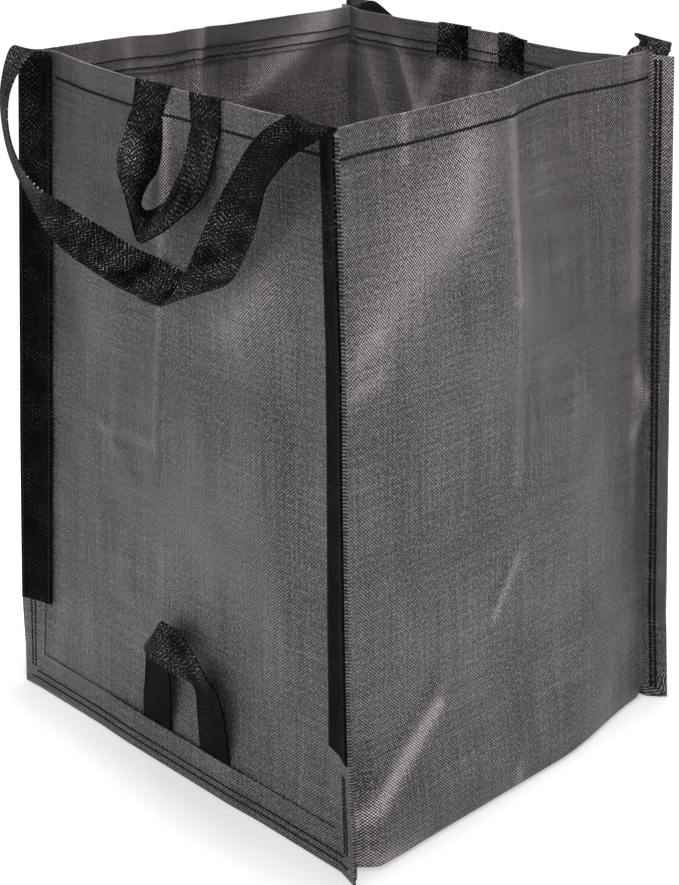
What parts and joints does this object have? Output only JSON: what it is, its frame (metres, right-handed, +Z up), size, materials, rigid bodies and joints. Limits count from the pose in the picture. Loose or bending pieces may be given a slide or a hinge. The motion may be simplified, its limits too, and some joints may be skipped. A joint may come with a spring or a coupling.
{
  "type": "pop up leaf bag",
  "caption": "Square self-standing garden leaf bag of coated woven cloth with an open top, webbing carrying loops on two sides, small rim loops and a loop at the foot for tipping it out",
  "frame": {"origin": "on the floor under the middle of the bag", "axes": "X across from the side panel in view to the far one, Y from the front wall to the back wall, Z up"},
  "size_m": [0.5717, 0.5409, 0.6973],
  "materials": {
    "woven_cloth": "coated woven tape cloth, dark grey with a slight sheen",
    "seam_border": "the same cloth folded and sewn, dark grey",
    "webbing": "black herringbone webbing with a few glossy threads"
  },
  "bodies": {
    "bag": {"u_panel": "woven_cloth", "side_panel_near": "woven_cloth", "side_panel_far": "woven_cloth", "seam_border_near": "seam_border", "seam_border_far": "seam_border", "corner_strap_near": "webbing", "corner_strap_left": "webbing", "corner_strap_right": "webbing", "corner_strap_back": "webbing", "grab_loop_tab_near_front": "webbing", "grab_loop_tab_near_back": "webbing", "grab_loop_tab_far_front": "webbing", "grab_loop_tab_far_back": "webbing", "dump_loop_end_front": "webbing", "dump_loop_end_back": "webbing"},
    "near_carry": {"carry_loop_near": "webbing"},
    "far_carry": {"carry_loop_far": "webbing"},
    "near_grab": {"grab_loop_near": "webbing"},
    "far_grab": {"grab_loop_far": "webbing"},
    "dump": {"dump_loop": "webbing"}
  },
  "joints": [
    {"name": "near_carry_swing", "type": "hinge", "parent": "bag", "child": "near_carry", "pos_m": [-0.24447, -0.01756, 0.69245], "axis": [0.1102, 0.9939, 0], "range_deg": [0, 180]},
    {"name": "far_carry_swing", "type": "hinge", "parent": "bag", "child": "far_carry", "pos_m": [0.24149, 0.02075, 0.69245], "axis": [-0.0958, -0.9954, 0], "range_deg": [0, 180]},
    {"name": "near_grab_swing", "type": "hinge", "parent": "bag", "child": "near_grab", "pos_m": [-0.23428, -0.01811, 0.65985], "axis": [0.1053, 0.9944, 0], "range_deg": [0, 150]},
    {"name": "far_grab_swing", "type": "hinge", "parent": "bag", "child": "far_grab", "pos_m": [0.22055, 0.0219, 0.65985], "axis": [-0.0922, -0.9957, 0], "range_deg": [0, 150]},
    {"name": "dump_swing", "type": "hinge", "parent": "bag", "child": "dump", "pos_m": [-0.22749, -0.00497, 0.04315], "axis": [0.0094, -1, 0], "range_deg": [0, 90]}
  ]
}
